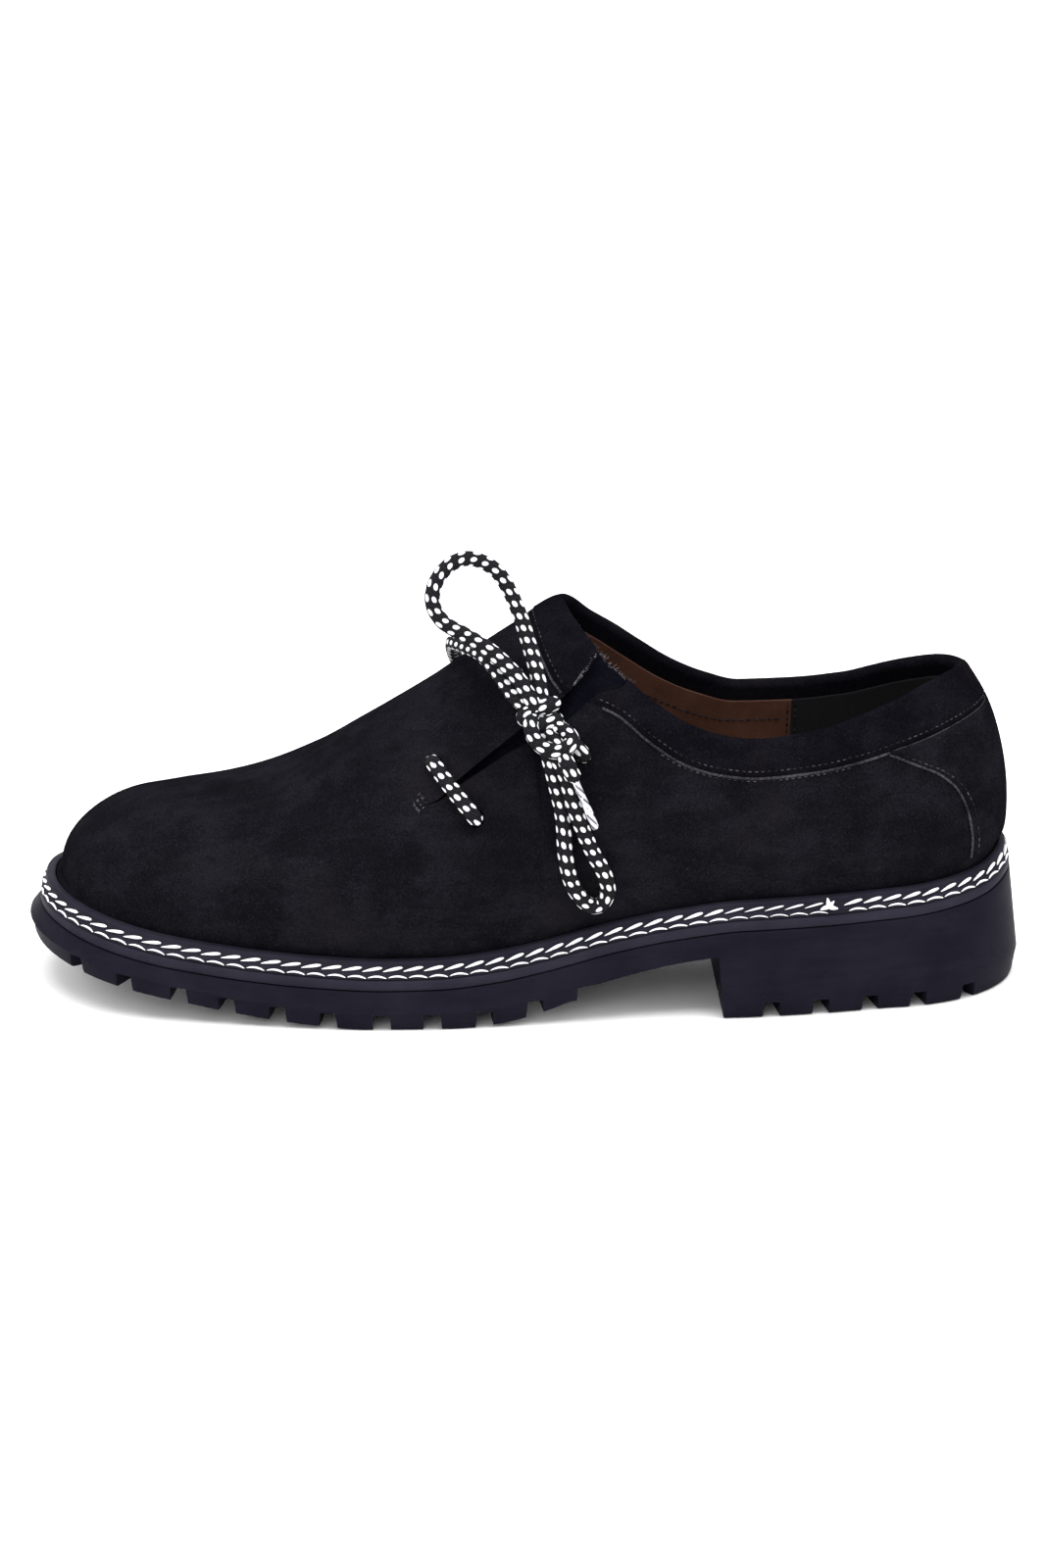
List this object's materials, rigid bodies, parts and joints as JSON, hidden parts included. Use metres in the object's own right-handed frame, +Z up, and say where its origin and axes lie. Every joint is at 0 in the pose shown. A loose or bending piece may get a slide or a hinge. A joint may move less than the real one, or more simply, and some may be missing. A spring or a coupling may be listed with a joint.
{
  "type": "traditional shoe",
  "caption": "Low folk shoe for the left foot, in suede with a padded collar, side lacing with a bow, a stitched welt and a lugged rubber sole with a block heel.",
  "frame": {"origin": "on the floor plane, midway along and across the sole", "axes": "+Z up, -X towards the toe, -Y towards the laced outer side of the left foot, +Y towards its inner side"},
  "size_m": [0.3004, 0.1084, 0.1352],
  "materials": {
    "suede": "napped suede, matte",
    "rubber": "moulded, satin",
    "lining_leather": "smooth lining, satin",
    "lace_cotton": "round braid, black with light specks",
    "aglet_film": "clear film, slightly milky"
  },
  "bodies": {
    "root": {"outsole": "rubber", "midsole": "rubber", "welt": "rubber", "insole": "lining_leather", "upper": "suede", "collar": "suede", "counter": "suede", "tongue": "suede", "lace_bar_lower": "lace_cotton", "lace_bar_front": "lace_cotton", "lace_bar_back": "lace_cotton", "lace_knot": "lace_cotton", "lace_loop_upper": "lace_cotton", "lace_loop_lower": "lace_cotton", "lace_end_front": "lace_cotton", "lace_end_back": "lace_cotton", "aglet_front": "aglet_film", "aglet_back": "aglet_film"}
  },
  "joints": []
}
